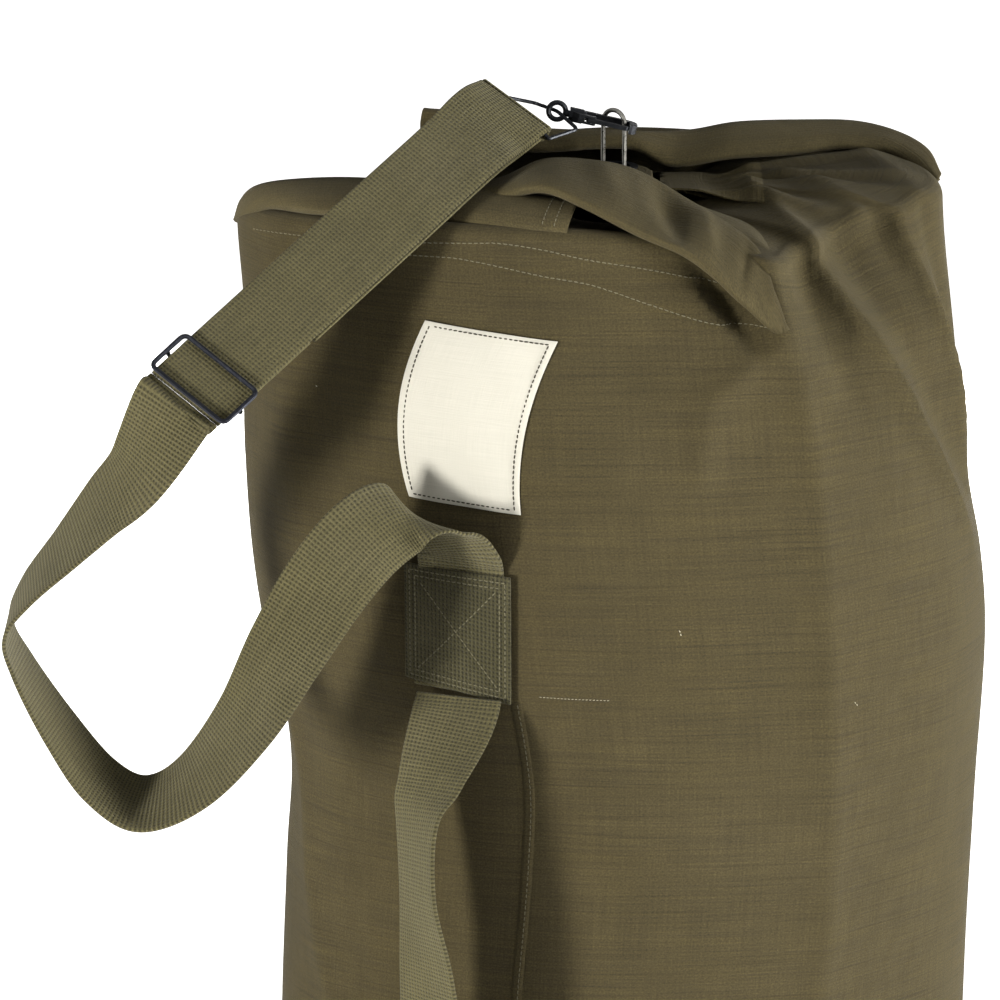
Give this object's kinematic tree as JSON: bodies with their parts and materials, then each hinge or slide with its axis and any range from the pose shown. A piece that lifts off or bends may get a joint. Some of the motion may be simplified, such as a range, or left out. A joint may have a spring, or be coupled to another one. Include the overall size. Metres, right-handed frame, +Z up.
{
  "type": "duffel bag",
  "caption": "Upright canvas duffel bag with a folded mouth closed over a wire staple by a snap hook, an adjustable shoulder strap and a side handle.",
  "frame": {"origin": "centre of the flat base, on the surface that the bag stands on", "axes": "+Z up through the bag, -Y out of the front with the label and handle, -X towards the hanging loop of the strap"},
  "size_m": [0.5537, 0.3777, 0.8787],
  "materials": {
    "canvas": "olive drab cotton canvas, matt plain weave with slubs",
    "webbing": "olive drab ribbed cotton webbing, matt",
    "black_metal": "blackened steel, satin, worn on its edges",
    "slider_metal": "blue-black wire, satin",
    "plated_metal": "plated steel wire, shiny",
    "label_cloth": "cream cotton label, blank"
  },
  "bodies": {
    "bag": {"body_shell": "canvas", "bottom_panel": "canvas", "mouth_facing": "canvas", "side_seam": "canvas", "top_fold_front": "canvas", "top_fold_back": "canvas", "top_fold_left": "canvas", "top_fold_right": "canvas", "strap_patch": "webbing", "handle_lower_patch": "webbing", "strap_sewn_end": "webbing", "handle_upper_end": "webbing", "handle_lower_end": "webbing", "handle_webbing": "webbing", "strap_front_run": "webbing", "strap_under_run": "webbing", "strap_top_fold": "webbing", "strap_loop": "webbing", "grommet_front": "black_metal", "grommet_left": "black_metal", "grommet_right": "black_metal", "grommet_washer_front": "black_metal", "grommet_washer_left": "black_metal", "grommet_washer_right": "black_metal", "hook_eye": "black_metal", "stud_washer": "black_metal", "strap_wire_loop": "black_metal", "staple_wire": "plated_metal", "staple_plate": "plated_metal", "staple_washer": "plated_metal", "label": "label_cloth"},
    "slider": {"slider_frame": "slider_metal", "slider_bar": "slider_metal", "strap_end": "webbing"},
    "hook": {"hook_body": "black_metal", "gate_pin": "black_metal", "gate_spring": "plated_metal"},
    "gate": {"hook_gate": "black_metal"}
  },
  "joints": [
    {"name": "slider_slide", "type": "slide", "parent": "bag", "child": "slider", "axis": [0.6658, 0.5402, 0.5146], "range_m": [0, 0.1]},
    {"name": "hook_swivel", "type": "hinge", "parent": "bag", "child": "hook", "pos_m": [-0.0325, -0.0065, 0.8575], "axis": [0.9744, 0, -0.225], "range_deg": [-9, 9]},
    {"name": "gate_hinge", "type": "hinge", "parent": "hook", "child": "gate", "pos_m": [-0.01399, -0.0121, 0.85323], "axis": [0.225, 0, 0.9744], "range_deg": [0, 12], "stiffness_Nm_per_rad": 0.05, "springref_deg": -17.19}
  ]
}
